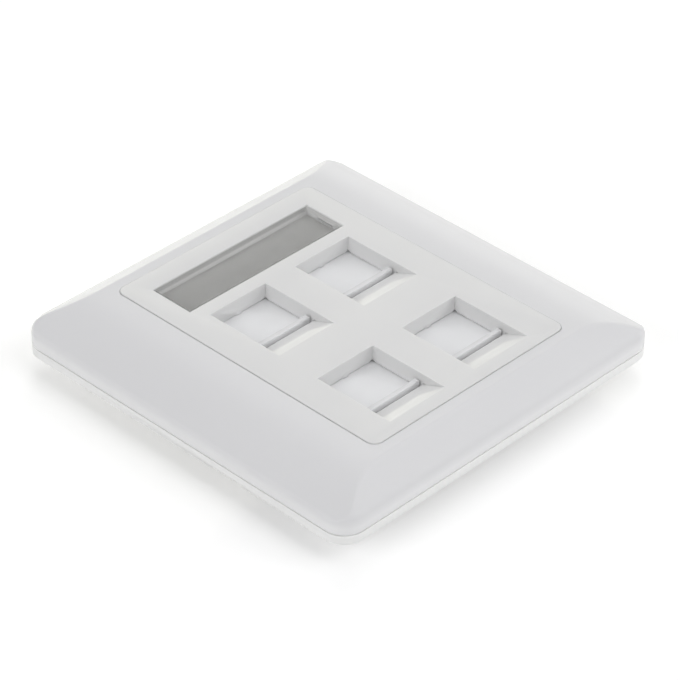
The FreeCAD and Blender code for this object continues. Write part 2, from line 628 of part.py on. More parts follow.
def label_window():
    """Clear cover over the card, with a bevelled upper edge and a tab at each end."""
    half = LABEL_WIDTH / 2 - WINDOW_GAP
    y0 = LABEL_LOW_Y + WINDOW_GAP
    y1 = LABEL_LOW_Y + LABEL_LENGTH - WINDOW_GAP
    z0 = LABEL_FLOOR_Z + CARD_T
    z1 = z0 + WINDOW_T
    pane = box(-half, half, y0, y1, z0, z1)
    rim = [e for e in pane.Edges if all(abs(v.Z - z1) < 1e-6 for v in e.Vertexes)]
    pane = pane.makeChamfer(WINDOW_BEVEL, rim)
    mid_y = (y0 + y1) / 2
    tabs = box(-half - TAB_REACH, half + TAB_REACH, mid_y - TAB_LENGTH / 2,
               mid_y + TAB_LENGTH / 2, z0, z0 + TAB_HEIGHT)
    return fused([pane, tabs])


def build():
    """All nodes by name."""
    nodes = {
        "base_plate": base_plate(),
        "cover_frame": cover_frame(),
        "label_card": label_card(),
        "label_window": label_window(),
    }
    for number, x, top_y in ports():
        nodes[f"shutter_{number}"] = shutter(x, top_y)
        nodes[f"shutter_spring_{number}"] = spring(x, top_y)
        nodes[f"jack_frame_{number}"] = jack_frame(x, top_y)
    return nodes


def main():
    """Write one STEP file per node."""
    os.makedirs("parts", exist_ok=True)
    for name, shape in build().items():
        solids = shape.Solids
        assert solids and shape.isValid(), name
        print(name, len(solids), "solid(s)", round(shape.Volume, 2), "mm3")
        shape.exportStep(f"parts/{name}.step")


main()
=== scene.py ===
"""Dresses the keystone faceplate and sets up its studio.

The CAD model is loaded as a fixed frame. Each operator below makes one piece, or one group of
like pieces, in place of the CAD node that it stands for. Lengths are metres, in the frame's own
axes: +Z is out of the wall, +Y is towards the label.
"""

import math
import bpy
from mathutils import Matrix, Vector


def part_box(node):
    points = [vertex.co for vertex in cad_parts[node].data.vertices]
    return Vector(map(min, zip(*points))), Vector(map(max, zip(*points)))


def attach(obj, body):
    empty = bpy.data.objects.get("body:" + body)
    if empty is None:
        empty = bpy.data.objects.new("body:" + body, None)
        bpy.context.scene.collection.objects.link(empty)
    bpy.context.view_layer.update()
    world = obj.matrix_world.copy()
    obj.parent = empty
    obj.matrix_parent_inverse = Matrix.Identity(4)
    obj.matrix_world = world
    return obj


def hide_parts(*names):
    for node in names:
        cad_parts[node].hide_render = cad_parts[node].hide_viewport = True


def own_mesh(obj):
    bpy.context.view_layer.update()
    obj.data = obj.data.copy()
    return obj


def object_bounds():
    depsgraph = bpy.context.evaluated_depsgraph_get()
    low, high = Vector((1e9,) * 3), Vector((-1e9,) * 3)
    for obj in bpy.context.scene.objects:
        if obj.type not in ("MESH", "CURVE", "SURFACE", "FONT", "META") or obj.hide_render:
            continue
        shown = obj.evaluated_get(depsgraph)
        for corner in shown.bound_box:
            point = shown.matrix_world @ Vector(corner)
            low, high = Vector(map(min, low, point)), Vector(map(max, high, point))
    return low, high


bl_info = {
    "name": "Keystone Faceplate",
    "version": (1, 0, 0),
    "blender": (4, 5, 0),
    "location": "View3D > Sidebar > Faceplate",
    "description": ("Cover frame, panel, shutters, springs, jack frames and label "
                    "of a keystone faceplate"),
    "category": "Object",
}

import bmesh
import bpy
from bpy.props import FloatProperty, FloatVectorProperty, IntProperty, PointerProperty
from mathutils import Matrix, Vector

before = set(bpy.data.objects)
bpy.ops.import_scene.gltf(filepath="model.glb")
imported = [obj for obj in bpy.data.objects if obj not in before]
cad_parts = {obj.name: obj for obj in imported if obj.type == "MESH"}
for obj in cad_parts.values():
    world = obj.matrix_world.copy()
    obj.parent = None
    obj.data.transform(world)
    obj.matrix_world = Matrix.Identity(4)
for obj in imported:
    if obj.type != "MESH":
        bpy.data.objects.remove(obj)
CAD_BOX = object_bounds()

PLATE = "plate"
PORTS = (1, 2, 3, 4)
MM = 0.001
NEAR = 0.01 * MM              # heights closer than this are taken as the same
MERGE = 0.001 * MM            # doubled points of a CAD mesh lie closer than this
SEAL = 0.0001 * MM            # doubled points of the cover's own sheet lie closer than this

# Sizes of the CAD that its meshes don't name.
RIM_HEIGHT = 1.85 * MM        # top of the base plate's thin rim
COLLAR_GAP = 0.15 * MM        # shutter to the openings' lower edges
RELIEF_RISE = 0.7 * MM        # relief in the openings' corners
RELIEF_FROM = 5 * MM          # the reliefs are farther than this from a port's middle
BEAD_SIZE = (8 * MM, 0.9 * MM, 0.7 * MM)
BEAD_X = 22 * MM              # clip beads to the plate's middle
BEAD_INSET = 2.15 * MM        # their middle to the cover's end face
BEAD_Z = 3.25 * MM


def length(name, description, millimetres):
    """A length property whose default is given in millimetres."""
    return FloatProperty(name=name, description=description, default=millimetres * MM,
                         min=0.0, unit="LENGTH", precision=5)


def tint(name, description, colour):
    """A colour property, linear values."""
    return FloatVectorProperty(name=name, description=description, default=colour,
                               min=0.0, max=1.0, size=3, subtype="COLOR")


def share(name, description, value):
    """A property between 0 and 1."""
    return FloatProperty(name=name, description=description, default=value,
                         min=0.0, max=1.0, subtype="FACTOR")


def power(name, description, watts):
    """A lamp's power."""
    return FloatProperty(name=name, description=description, default=watts, min=0.0)


# ---- Settings ------------------------------------------------------------------------
class CoverSettings(bpy.types.PropertyGroup):
    """Form of the glossy cover frame."""
    corner: length("Plan corner", "Round of the outer corners, seen from the front", 4.7)
    wall: length("Wall", "Thickness of the shell", 1.8)
    opening_corner: length("Opening corner", "Round of the opening's corners", 2.1)
    side_wall: length("Side wall top", "Height at which the left and right walls turn over", 3.9)
    side_round: length("Side round", "Small round above the left and right walls", 1.32)
    side_arc: share("Side arc", "Share of the side slope that is the long arc", 0.793)
    end_wall: length("End wall top", "Height at which the top and bottom walls turn over", 3.95)
    end_round: length("End round", "Large round above the top and bottom walls", 3.36)
    end_angle: FloatProperty(name="End angle", description="Slope where the end round stops",
                             default=math.radians(40), subtype="ANGLE")
    end_flat: length("End flat", "Flat strip before the end bevel", 2.2)
    soft: length("Soft crease", "How far the creases of the crown run out", 0.3)
    edge: length("Edge round", "Round of the moulded edges", 0.16)
    skirt: length("Skirt", "Skirt below the shell around the opening", 3.0)
    skirt_wall: length("Skirt wall", "Thickness of the skirt", 1.2)
    stations: IntProperty(name="Stations", description="Points along a side of the plate",
                          default=110, min=8)


class PanelSettings(bpy.types.PropertyGroup):
    """Edges of the satin base plate and its panel."""
    edge: length("Panel edge", "Round of the panel's outline", 0.18)
    port_edge: length("Port edge", "Round of the port and label openings", 0.12)
    window_rim: length("Window rim", "Thickness of the clear window's upright rim", 0.3)
    window_rim_drop: length("Rim drop", "Panel's face to the top of that rim", 0.15)
    rim_edge: length("Rim edge", "Round of the base rim", 0.22)
    seam_closed: length("Seam closed", "Taken from the seam at the panel's right and top", 0.13)
    collar_gap: length("Collar gap", "Shutter to the openings' lower edges", 0.04)
    relief: length("Relief", "Height of the small relief in the openings' corners", 0.25)


class MechanismSettings(bpy.types.PropertyGroup):
    """Shutters, springs and jack frames."""
    shutter_edge: length("Shutter edge", "Round of the shutter's edges", 0.12)
    frame_edge: length("Frame edge", "Round of the jack frame's edges", 0.15)
    wire: length("Spring wire", "Thickness of the spring's wire", 0.25)
    turns: IntProperty(name="Turns", description="Turns of each return spring", default=11, min=3)
    closed: share("Closed end", "Share of the spring's turns that lie close at each end", 0.12)


class FinishSettings(bpy.types.PropertyGroup):
    """Colours and sheens."""
    cover: tint("Cover", "Glossy white plastic of the cover frame", (0.755, 0.755, 0.768))
    # Painted light: the cover's upright walls are painted paler than the crown, standing in for
    # the light the floor throws on them.
    cover_foot_painted_light: tint("Cover foot", "The cover's upright walls, lit from the floor",
                     (0.845, 0.845, 0.855))
    cover_rough: share("Cover roughness", "Roughness of the cover's gloss", 0.24)
    cover_sheen: share("Cover sheen", "How strongly the cover mirrors", 0.08)
    panel: tint("Panel", "Satin white plastic of the base plate", (0.762, 0.762, 0.762))
    # Painted light: the base plate's outer rim is painted paler than the panel, standing in for
    # the light the floor throws on it.
    foot: tint("Base rim", "The base plate's outer rim, lit from the floor", (0.9, 0.9, 0.895))
    panel_rough: share("Panel roughness", "Roughness of the satin plastic", 0.52)
    panel_sheen: share("Panel sheen", "How strongly the base plate mirrors", 0.1)
    # The shutters' own bluish white, made paler than the panel as painted light that lifts them
    # against the shade of their recesses.
    shutter: tint("Shutter", "Smooth plastic of the shutters", (0.905, 0.91, 0.925))
    # Painted shade: the shutters' pull bar is the shutter's own plastic, painted darker for the
    # shade that falls on it.
    bar: tint("Shutter bar", "Unpolished pull bar of the shutters", (0.75, 0.75, 0.76))
    shutter_rough: share("Shutter roughness", "Roughness of the shutters", 0.3)
    shutter_sheen: share("Shutter sheen", "How strongly the shutters mirror", 0.15)
    glow: share("Glow", "Share of the light that spreads inside the white plastics", 0.85)
    glow_depth: length("Glow depth", "How far that light spreads", 0.25)
    shutter_depth: length("Shutter glow depth", "How far it spreads in the shutters", 0.6)
    jack_frame: tint("Jack frame", "Plain plastic of the jack frames", (0.76, 0.76, 0.755))
    card: tint("Card", "Paper insert", (0.88, 0.88, 0.86))
    window: tint("Window", "Clear window over the card", (0.8, 0.8, 0.79))
    window_cover: share("Window veil", "How much the clear window hides", 0.03)
    # Painted shade: the clear rim is painted dark grey so that the label pocket's walls seen
    # through it look shaded.
    rim: tint("Window rim", "Clear window's upright rim", (0.25, 0.25, 0.24))
    # Painted reflection: the rim's right end is painted pale for the bright surroundings it
    # mirrors.
    rim_end_painted_light: tint("Rim end", "The rim at the label's right end", (0.9, 0.9, 0.88))
    rim_cover: share("Rim veil", "How much one face of the rim hides", 0.15)
    steel: tint("Steel", "Drawn spring wire", (0.56, 0.56, 0.57))


class StudioSettings(bpy.types.PropertyGroup):
    """Camera, lamps and backdrop."""
    azimuth: FloatProperty(name="Azimuth", description="Direction the camera looks in, from +Y",
                           default=math.radians(-46.788), subtype="ANGLE")
    elevation: FloatProperty(name="Elevation", description="Camera's height above the plate",
                             default=math.radians(35.941), subtype="ANGLE")
    roll: FloatProperty(name="Roll", description="Turn of the camera about its own line of sight",
                        default=math.radians(1.317), subtype="ANGLE")
    distance: length("Distance", "Camera to its target", 633.8)
    target: FloatVectorProperty(name="Target", description="Point the camera looks at",
                                default=(0.002578, 0.002062, 0.0), size=3, subtype="XYZ")
    lens: FloatProperty(name="Lens", description="Focal length in millimetres", default=173.6)
    world: power("World", "Strength of the all-round light", 0.3)
    top: power("Top lamp", "Power of the lamp straight above", 1.4)
    left: power("Left lamp", "Power of the lamp on the left", 2.94)
    front: power("Front lamp", "Power of the high lamp in front", 1.5)
    right: power("Right lamp", "Power of the lamp at the front right", 1.95)
    right_low: power("Low right lamp", "Power of the low lamp at the front right", 0.9)
    back: power("Back lamp", "Power of the high lamp at the back right", 1.45)
    back_low: power("Low back lamp", "Power of the low lamp at the back right", 0.45)
    spark: power("Small lamp", "Power of the small lamp that grazes the plate from behind", 10.0)
    spark_colour: tint("Small lamp colour", "Tint of the small lamp", (1.0, 1.0, 0.85))
    backdrop: share("Backdrop", "Whiteness added to the floor as the camera sees it", 0.2)


class FaceplateSettings(bpy.types.PropertyGroup):
    """All settings of the faceplate."""
    cover: PointerProperty(type=CoverSettings)
    panel: PointerProperty(type=PanelSettings)
    mechanism: PointerProperty(type=MechanismSettings)
    finish: PointerProperty(type=FinishSettings)
    studio: PointerProperty(type=StudioSettings)


# ---- Modelling helpers -----------------------------------------------------------------
def deselect_all():
    if bpy.context.object and bpy.context.object.mode != "OBJECT":
        bpy.ops.object.mode_set(mode="OBJECT")
    bpy.ops.object.select_all(action="DESELECT")


def make_active(obj):
    deselect_all()
    obj.select_set(True)
    bpy.context.view_layer.objects.active = obj


def bake_place(obj):
    """Put the object's place, turn and size into its mesh."""
    make_active(obj)
    bpy.ops.object.transform_apply(location=True, rotation=True, scale=True)


def apply_modifier(obj, kind, **settings):
    """Add a modifier with these settings and apply it."""
    make_active(obj)
    modifier = obj.modifiers.new(kind.title(), kind)
    for key, value in settings.items():
        setattr(modifier, key, value)
    bpy.ops.object.modifier_apply(modifier=modifier.name)


def edit(obj, *steps):
    """Run edit-mode steps on the whole mesh."""
    make_active(obj)
    bpy.ops.object.mode_set(mode="EDIT")
    for step in steps:
        bpy.ops.mesh.select_all(action="SELECT")
        step()
    bpy.ops.object.mode_set(mode="OBJECT")


def select_edges(obj, wanted):
    """Select the edges whose two ends pass the test, and nothing else."""
    make_active(obj)
    bpy.ops.object.mode_set(mode="EDIT")
    bpy.ops.mesh.select_mode(type="EDGE")
    bpy.ops.mesh.select_all(action="DESELECT")
    bpy.ops.object.mode_set(mode="OBJECT")
    points = [v.co for v in obj.data.vertices]
    for edge in obj.data.edges:
        edge.select = wanted(points[edge.vertices[0]], points[edge.vertices[1]])


def round_selected(width):
    """Round the selected edges of the active object."""
    bpy.ops.object.mode_set(mode="EDIT")
    bpy.ops.mesh.bevel(offset=width, segments=3, profile=0.5, clamp_overlap=True)
    bpy.ops.object.mode_set(mode="OBJECT")


def round_edges(obj, width):
    """Round every edge of 50 degrees or more."""
    apply_modifier(obj, "BEVEL", width=width, segments=2, limit_method="ANGLE",
                   angle_limit=math.radians(50))


def copy_of_node(node, name):
    """A merged copy of a CAD node's mesh, with its flat areas joined into single faces."""
    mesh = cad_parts[node].data.copy()
    mesh.name = name
    mesh.materials.clear()
    obj = bpy.data.objects.new(name, mesh)
    bpy.context.scene.collection.objects.link(obj)
    edit(obj,
         lambda: bpy.ops.mesh.remove_doubles(threshold=MERGE),
         lambda: bpy.ops.mesh.dissolve_limited(angle_limit=math.radians(0.6)))
    return obj


def smooth(obj, degrees=35):
    """Smooth shading that keeps the sharp edges."""
    make_active(obj)
    bpy.ops.object.shade_smooth_by_angle(angle=math.radians(degrees))


def dress(obj, material, body, node):
    """Give a finished piece its material and its body, and hide the CAD node that it stands for.
    """
    obj.data.materials.clear()
    obj.data.materials.append(material)
    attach(obj, body)
    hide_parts(node)


def half_of_top(node):
    """Half sizes of the level top of a CAD node."""
    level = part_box(node)[1].z - NEAR
    top = [v.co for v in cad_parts[node].data.vertices if v.co.z > level]
    return Vector((max(abs(p.x) for p in top), max(abs(p.y) for p in top)))


def shutter_face():
    """Height of the shutters' flat face."""
    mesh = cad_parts["shutter_1"].data
    upward = (f for f in mesh.polygons if f.normal.z > 0.9)
    return max(upward, key=lambda f: f.area).center.z


def centre(node):
    """Middle of a CAD node's box."""
    low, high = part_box(node)
    return (low + high) / 2


# ---- Materials -------------------------------------------------------------------------
NOISE_RANGE = (0.3, 0.7)      # nearly all values of a noise lie between these

# Where one colour runs into the next: painted light on the cover's walls, on the base rim and on
# the right end of the window's rim, painted shade on the shutters' pull bar.
COVER_FOOT_PAINTED_LIGHT = (5.2 * MM, 3.6 * MM)       # heights on the cover's wall
BASE_RIM_PAINTED_LIGHT = (2.6 * MM, 2.0 * MM)         # heights on the base plate
SHUTTER_BAR_PAINTED_SHADE = (0.2 * MM, 0.8 * MM)      # heights above the shutter's face
RIM_END_PAINTED_LIGHT = (20.0 * MM, 20.5 * MM)        # places along X on the window's rim


def new_material(name, colour, roughness, metallic=0.0):
    """A material with its Principled shader, and a point in object space to hang patterns on."""
    material = bpy.data.materials.get(name)
    if material:
        return material, None, None
    material = bpy.data.materials.new(name)
    material.use_nodes = True
    shader = material.node_tree.nodes["Principled BSDF"]
    shader.inputs["Base Color"].default_value = (*colour, 1)
    shader.inputs["Roughness"].default_value = roughness
    shader.inputs["Metallic"].default_value = metallic
    place = material.node_tree.nodes.new("ShaderNodeTexCoord").outputs["Object"]
    return material, shader, place


def noise(shader, place, size, detail):
    """Noise whose features are about the given size, with finer detail the higher it is set."""
    tree = shader.id_data
    node = tree.nodes.new("ShaderNodeTexNoise")
    node.inputs["Scale"].default_value = 1 / size
    node.inputs["Detail"].default_value = detail
    tree.links.new(place, node.inputs["Vector"])
    return node.outputs["Fac"]


def spread(shader, value, low, high, inside=NOISE_RANGE):
    """Map a value from the range that it has to another one."""
    tree = shader.id_data
    node = tree.nodes.new("ShaderNodeMapRange")
    node.inputs["From Min"].default_value, node.inputs["From Max"].default_value = inside
    node.inputs["To Min"].default_value = low
    node.inputs["To Max"].default_value = high
    tree.links.new(value, node.inputs["Value"])
    return node.outputs["Result"]


def shade_colour(shader, factor, pale, deep):
    """Run the base colour between two shades by a pattern."""
    tree = shader.id_data
    node = tree.nodes.new("ShaderNodeMix")
    node.data_type = "RGBA"
    node.inputs["A"].default_value = (*pale, 1)
    node.inputs["B"].default_value = (*deep, 1)
    tree.links.new(factor, node.inputs["Factor"])
    tree.links.new(node.outputs["Result"], shader.inputs["Base Color"])


def colour_beyond(material, colour, places, axis="Z"):
    """Run the base colour into another one between two places along an axis."""
    tree = material.node_tree
    shader = tree.nodes["Principled BSDF"]
    split = tree.nodes.new("ShaderNodeSeparateXYZ")
    tree.links.new(tree.nodes["Texture Coordinate"].outputs["Object"], split.inputs[0])
    mix = tree.nodes.new("ShaderNodeMix")
    mix.data_type = "RGBA"
    tree.links.new(spread(shader, split.outputs[axis], 0, 1, inside=places),
                   mix.inputs["Factor"])
    base = shader.inputs["Base Color"]
    if base.is_linked:
        tree.links.new(base.links[0].from_socket, mix.inputs["A"])
    else:
        mix.inputs["A"].default_value = base.default_value
    mix.inputs["B"].default_value = (*colour, 1)
    tree.links.new(mix.outputs["Result"], shader.inputs["Base Color"])


def bump(shader, height, depth):
    """Raise the surface by a pattern."""
    tree = shader.id_data
    node = tree.nodes.new("ShaderNodeBump")
    node.inputs["Strength"].default_value = 1.0
    node.inputs["Distance"].default_value = depth
    tree.links.new(height, node.inputs["Height"])
    tree.links.new(node.outputs["Normal"], shader.inputs["Normal"])


def deeper(colour, amount):
    """A colour made darker by a share."""
    return tuple(c * (1 - amount) for c in colour)


def white_plastic(name, colour, roughness, sheen, glow_depth=None):
    """A white plastic: how strongly it mirrors, and how far light spreads under its skin."""
    material, shader, place = new_material(name, colour, roughness)
    if shader:
        finish = bpy.context.scene.faceplate.finish
        shader.inputs["Specular IOR Level"].default_value = sheen
        shader.inputs["Subsurface Weight"].default_value = finish.glow
        shader.inputs["Subsurface Radius"].default_value = (1, 1, 1)
        shader.inputs["Subsurface Scale"].default_value = glow_depth or finish.glow_depth
    return material, shader, place


def glossy_plastic(name, colour, roughness, sheen, glow_depth=None):
    """Polished white moulding: clear gloss, a faint ripple and slight flow tone."""
    material, shader, place = white_plastic(name, colour, roughness, sheen, glow_depth)
    if shader:
        flow = noise(shader, place, 30 * MM, 1)
        shade_colour(shader, spread(shader, flow, 0, 1), colour, deeper(colour, 0.012))
        haze = noise(shader, place, 4 * MM, 3)
        rough = spread(shader, haze, roughness - 0.02, roughness + 0.03)
        shader.id_data.links.new(rough, shader.inputs["Roughness"])
        bump(shader, noise(shader, place, 6 * MM, 1), 0.004 * MM)
    return material


def satin_plastic(name, colour, roughness, sheen):
    """Fine spark-eroded texture of a satin moulding."""
    material, shader, place = white_plastic(name, colour, roughness, sheen)
    if shader:
        tone = noise(shader, place, 12 * MM, 2)
        shade_colour(shader, spread(shader, tone, 0, 1), colour, deeper(colour, 0.015))
        pits = noise(shader, place, 0.22 * MM, 2)
        rough = spread(shader, pits, roughness - 0.05, roughness + 0.06)
        shader.id_data.links.new(rough, shader.inputs["Roughness"])
        bump(shader, pits, 0.0035 * MM)
    return material


def paper(name, colour):
    """Uncoated card with short fibres."""
    material, shader, place = new_material(name, colour, 0.85)
    if shader:
        fibre = noise(shader, place, 0.4 * MM, 6)
        shade_colour(shader, spread(shader, fibre, 0, 1), colour, deeper(colour, 0.05))
        bump(shader, fibre, 0.01 * MM)
    return material


def clear_plastic(name, colour, cover):
    """Clear moulding with a light haze that hides a little of what is under it."""
    material, shader, place = new_material(name, colour, 0.08)
    if shader:
        shader.inputs["Alpha"].default_value = cover
        shader.inputs["IOR"].default_value = 1.49
        wipe = noise(shader, place, 3 * MM, 4)
        rough = spread(shader, wipe, 0.08, 0.095)
        shader.id_data.links.new(rough, shader.inputs["Roughness"])
    return material


def spring_steel(name, colour):
    """Drawn wire with faint streaks."""
    material, shader, place = new_material(name, colour, 0.3, metallic=1.0)
    if shader:
        streak = noise(shader, place, 0.3 * MM, 4)
        shade_colour(shader, spread(shader, streak, 0, 1), colour, deeper(colour, 0.2))
        rough = spread(shader, streak, 0.22, 0.4)
        shader.id_data.links.new(rough, shader.inputs["Roughness"])
    return material


# ---- Cover frame -----------------------------------------------------------------------
END_SOFT = 0.4                # crease of the end bevel, as a share of the soft crease
FADE = 0.6 * MM               # the creases run out over this distance from the outer wall
LEAST = 0.001 * MM            # smallest reach of a crease

# Points and rings of the cover's sheet.
CORNER_SHARE = 6              # a side has this many times the points of a corner
CORNER_LEAST = 6              # fewest points of a corner
ROUND_STEPS = 3               # steps round a moulded edge
SLOPE_STEPS = 44              # rings from the outer round to the opening
UNDER_STEPS = 12              # steps along the underside
WALL_ANGLES = (0, 3, 6, 9, 12, 15, 18, 21, 24, 27, 30, 33, 36, 39, 42, 46, 50, 55, 60, 66, 72)
SHARP = 0.2 * MM              # smallest corner of an inset outline
BELOW_TURN = 0.1 * MM         # last level ring of the wall, below where it turns over
SLOPE_WALL = 1.12             # the shell measured straight down, in wall thicknesses
FOOT_CLEAR = 0.4 * MM         # underside to the cover's foot
BEAD_EDGE = 0.2 * MM          # round of the clip beads


def soft_min(a, b, reach):
    """The lower of two heights, with the crease between them run out."""
    near = max(reach - abs(a - b), 0.0) / reach
    return min(a, b) - near * near * reach / 4


class Crown:
    """Outer form of the cover: height above the wall plane at any point of its plan."""

    def __init__(self, s):
        low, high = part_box("cover_frame")
        self.half = Vector((high.x, high.y))
        self.face = high.z
        self.bottom = low.z
        self.s = s
        self.open_half = self.opening()
        self.slope = self.side_slope()
        arc_run = s.side_arc * (self.half.x - self.open_half.x)
        self.arc_radius = arc_run / math.sin(self.slope)
        self.arc_end = self.open_half.x + arc_run
        self.arc_end_z = self.face - arc_run * math.tan(self.slope / 2)
        end_y = self.half.y - s.end_round * (1 - math.sin(s.end_angle))
        end_z = s.end_wall + s.end_round * math.cos(s.end_angle)
        self.bevel_y = self.open_half.y + s.end_flat
        self.bevel = (self.face - end_z) / (end_y - self.bevel_y)

    def opening(self):
        """Half sizes of the opening. The CAD cover's level top runs from it to the end bevels."""
        return half_of_top("cover_frame") - Vector((0, self.s.end_flat))

    def side_slope(self):
        """Slope at which the long arc, the straight part and the small round meet smoothly."""
        s = self.s
        arc_run = s.side_arc * (self.half.x - self.open_half.x)
        low, high = 0.0, math.pi / 2
        for _ in range(60):
            slope = (low + high) / 2
            end_x = self.half.x - s.side_round * (1 - math.sin(slope))
            end_z = s.side_wall + s.side_round * math.cos(slope)
            straight = end_x - self.open_half.x - arc_run
            if arc_run * math.tan(slope / 2) + straight * math.tan(slope) < self.face - end_z:
                low = slope
            else:
                high = slope
        return slope

    def side_height(self, x):
        """Height of the left and right slopes: long arc, straight part, small round."""
        s = self.s
        run = abs(x) - self.open_half.x
        round_start = self.half.x - s.side_round * (1 - math.sin(self.slope))
        if run <= 0:
            return self.face
        if abs(x) <= self.arc_end:
            return self.face - self.arc_radius + math.sqrt(self.arc_radius ** 2 - run ** 2)
        if abs(x) <= round_start:
            return self.arc_end_z - (abs(x) - self.arc_end) * math.tan(self.slope)
        along = min(abs(x) - (self.half.x - s.side_round), s.side_round)
        return s.side_wall + math.sqrt(s.side_round ** 2 - along ** 2)

    def end_height(self, y):
        """Height of the end bevels."""
        return self.face - max(abs(y) - self.bevel_y, 0.0) * self.bevel

    def rim_height(self, inset):
        """Height of the large round above the end walls."""
        s = self.s
        stop = s.end_round * (1 - math.sin(s.end_angle))
        past = max(inset - stop, 0.0) * math.tan(s.end_angle)
        across = s.end_round - min(inset, stop)
        return s.end_wall + math.sqrt(s.end_round ** 2 - across ** 2) + past

    def height(self, x, y, inset):
        """Height at a point that lies the given distance inside the plan outline."""
        reach = self.s.soft
        end = soft_min(self.end_height(y), self.face, reach * END_SOFT)
        side = self.side_height(x)
        crown = soft_min(side, end, reach)
        fade = min(inset / FADE, 1.0)
        return soft_min(crown, self.rim_height(inset), max(reach * fade, LEAST))


def outline(half_x, half_y, radius, count):
    """Points round a rounded rectangle. Their number depends on the count alone, so that two
    outlines can be joined point by point."""
    points = []
    corner_steps = max(count // CORNER_SHARE, CORNER_LEAST)
    for quarter in range(4):
        turn = Matrix.Rotation(quarter * math.pi / 2, 2)
        across, along = (half_x, half_y) if quarter % 2 == 0 else (half_y, half_x)
        for step in range(count):
            y = (along - radius) * (2 * step / count - 1)
            points.append(turn @ Vector((across, y)))
        for step in range(corner_steps):
            angle = math.pi / 2 * step / corner_steps
            corner = Vector((across - radius, along - radius))
            points.append(turn @ (corner + radius * Vector((math.cos(angle), math.sin(angle)))))
    return points


def cover_rows(crown, s):
    """Rings of points that run once round the shell's section, from the outer foot over the
    crown, down the opening, round the skirt and back under the shell."""
    count = s.stations
    half = crown.half
    rows = []

    def ring(points, heights):
        rows.append([Vector((p.x, p.y, z)) for p, z in zip(points, heights)])

    def flat_ring(points, z):
        ring(points, [z] * len(points))

    outer = outline(half.x, half.y, s.corner, count)

    def inset_outline(inset):
        return outline(half.x - inset, half.y - inset, max(s.corner - inset, SHARP), count)

    quarter = math.pi / 2
    for step in range(ROUND_STEPS + 1):
        turn = quarter * step / ROUND_STEPS
        flat_ring(inset_outline(s.edge * (1 - math.sin(turn))),
                  crown.bottom + s.edge * (1 - math.cos(turn)))
    wall_top = min(s.side_wall, s.end_wall)
    flat_ring(outer, (crown.bottom + wall_top) / 2)
    flat_ring(outer, wall_top - BELOW_TURN)
    for angle in WALL_ANGLES:
        inset = s.end_round * (1 - math.cos(math.radians(angle)))
        points = inset_outline(inset)
        ring(points, [crown.height(p.x, p.y, inset) for p in points])
    shoulder = points
    mouth = outline(crown.open_half.x, crown.open_half.y, s.opening_corner, count)
    lip = outline(crown.open_half.x + s.edge, crown.open_half.y + s.edge,
                  s.opening_corner + s.edge, count)
    for step in range(1, SLOPE_STEPS + 1):
        t = step / SLOPE_STEPS
        points = [a.lerp(b, t) for a, b in zip(shoulder, lip)]
        ring(points, [crown.height(p.x, p.y, min(half.x - abs(p.x), half.y - abs(p.y)))
                      for p in points])
    last = rows[-1]
    for step in range(1, ROUND_STEPS + 1):
        turn = quarter * step / ROUND_STEPS
        rows.append([Vector((*a.lerp(b, math.sin(turn)), c.z - s.edge * (1 - math.cos(turn))))
                     for a, b, c in zip(lip, mouth, last)])
    foot = crown.face - s.wall - s.skirt
    skirt = outline(crown.open_half.x + s.skirt_wall, crown.open_half.y + s.skirt_wall,
                    s.opening_corner + s.skirt_wall, count)
    flat_ring(mouth, crown.face - s.wall)
    flat_ring(mouth, foot)
    flat_ring(skirt, foot)
    inner_wall = inset_outline(s.wall)

    def under(point):
        inset = min(half.x - abs(point.x), half.y - abs(point.y))
        return crown.height(point.x, point.y, inset) - s.wall * SLOPE_WALL

    for step in range(UNDER_STEPS + 1):
        t = step / UNDER_STEPS
        points = [a.lerp(b, t) for a, b in zip(skirt, inner_wall)]
        ring(points, [max(under(p), crown.bottom + FOOT_CLEAR) for p in points])
    flat_ring(inner_wall, crown.bottom)
    rows.append([v.copy() for v in rows[0]])
    return rows


def sheet_from_rows(name, rows):
    """A grid primitive laid along the rows and closed into one ring."""
    rows = [row + row[:1] for row in rows]
    deselect_all()
    bpy.ops.mesh.primitive_grid_add(x_subdivisions=len(rows[0]) - 1,
                                    y_subdivisions=len(rows) - 1, size=1)
    obj = bpy.context.object
    obj.name = obj.data.name = name
    flat = [c for row in rows for point in row for c in point]
    obj.data.vertices.foreach_set("co", flat)
    obj.data.update()
    edit(obj,
         lambda: bpy.ops.mesh.remove_doubles(threshold=SEAL),
         lambda: bpy.ops.mesh.normals_make_consistent(inside=False))
    return obj


def clip_beads(shell):
    """The four clip beads inside the end walls, at the places of the CAD cover's."""
    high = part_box("cover_frame")[1]
    for end in (-1, 1):
        for x in (-BEAD_X, BEAD_X):
            deselect_all()
            bpy.ops.mesh.primitive_cube_add(
                size=1, scale=BEAD_SIZE, location=(x, end * (high.y - BEAD_INSET), BEAD_Z))
            bead = bpy.context.object
            bake_place(bead)
            apply_modifier(bead, "BEVEL", width=BEAD_EDGE, segments=3)
            shell.select_set(True)
            bpy.context.view_layer.objects.active = shell
            bpy.ops.object.join()


class FACEPLATE_OT_cover_frame(bpy.types.Operator):
    """Model the glossy clip-on frame round the panel"""
    bl_idname = "faceplate.cover_frame"
    bl_label = "Cover frame"

    def execute(self, context):
        settings = context.scene.faceplate
        crown = Crown(settings.cover)
        shell = sheet_from_rows("cover_shell", cover_rows(crown, settings.cover))
        clip_beads(shell)
        smooth(shell, 40)
        finish = settings.finish
        gloss = glossy_plastic("cover_gloss", finish.cover, finish.cover_rough,
                               finish.cover_sheen)
        # Painted light: the cover's walls run paler towards the wall plane, for the light from
        # the floor.
        colour_beyond(gloss, finish.cover_foot_painted_light, COVER_FOOT_PAINTED_LIGHT)
        dress(shell, gloss, PLATE, "cover_frame")
        return {"FINISHED"}


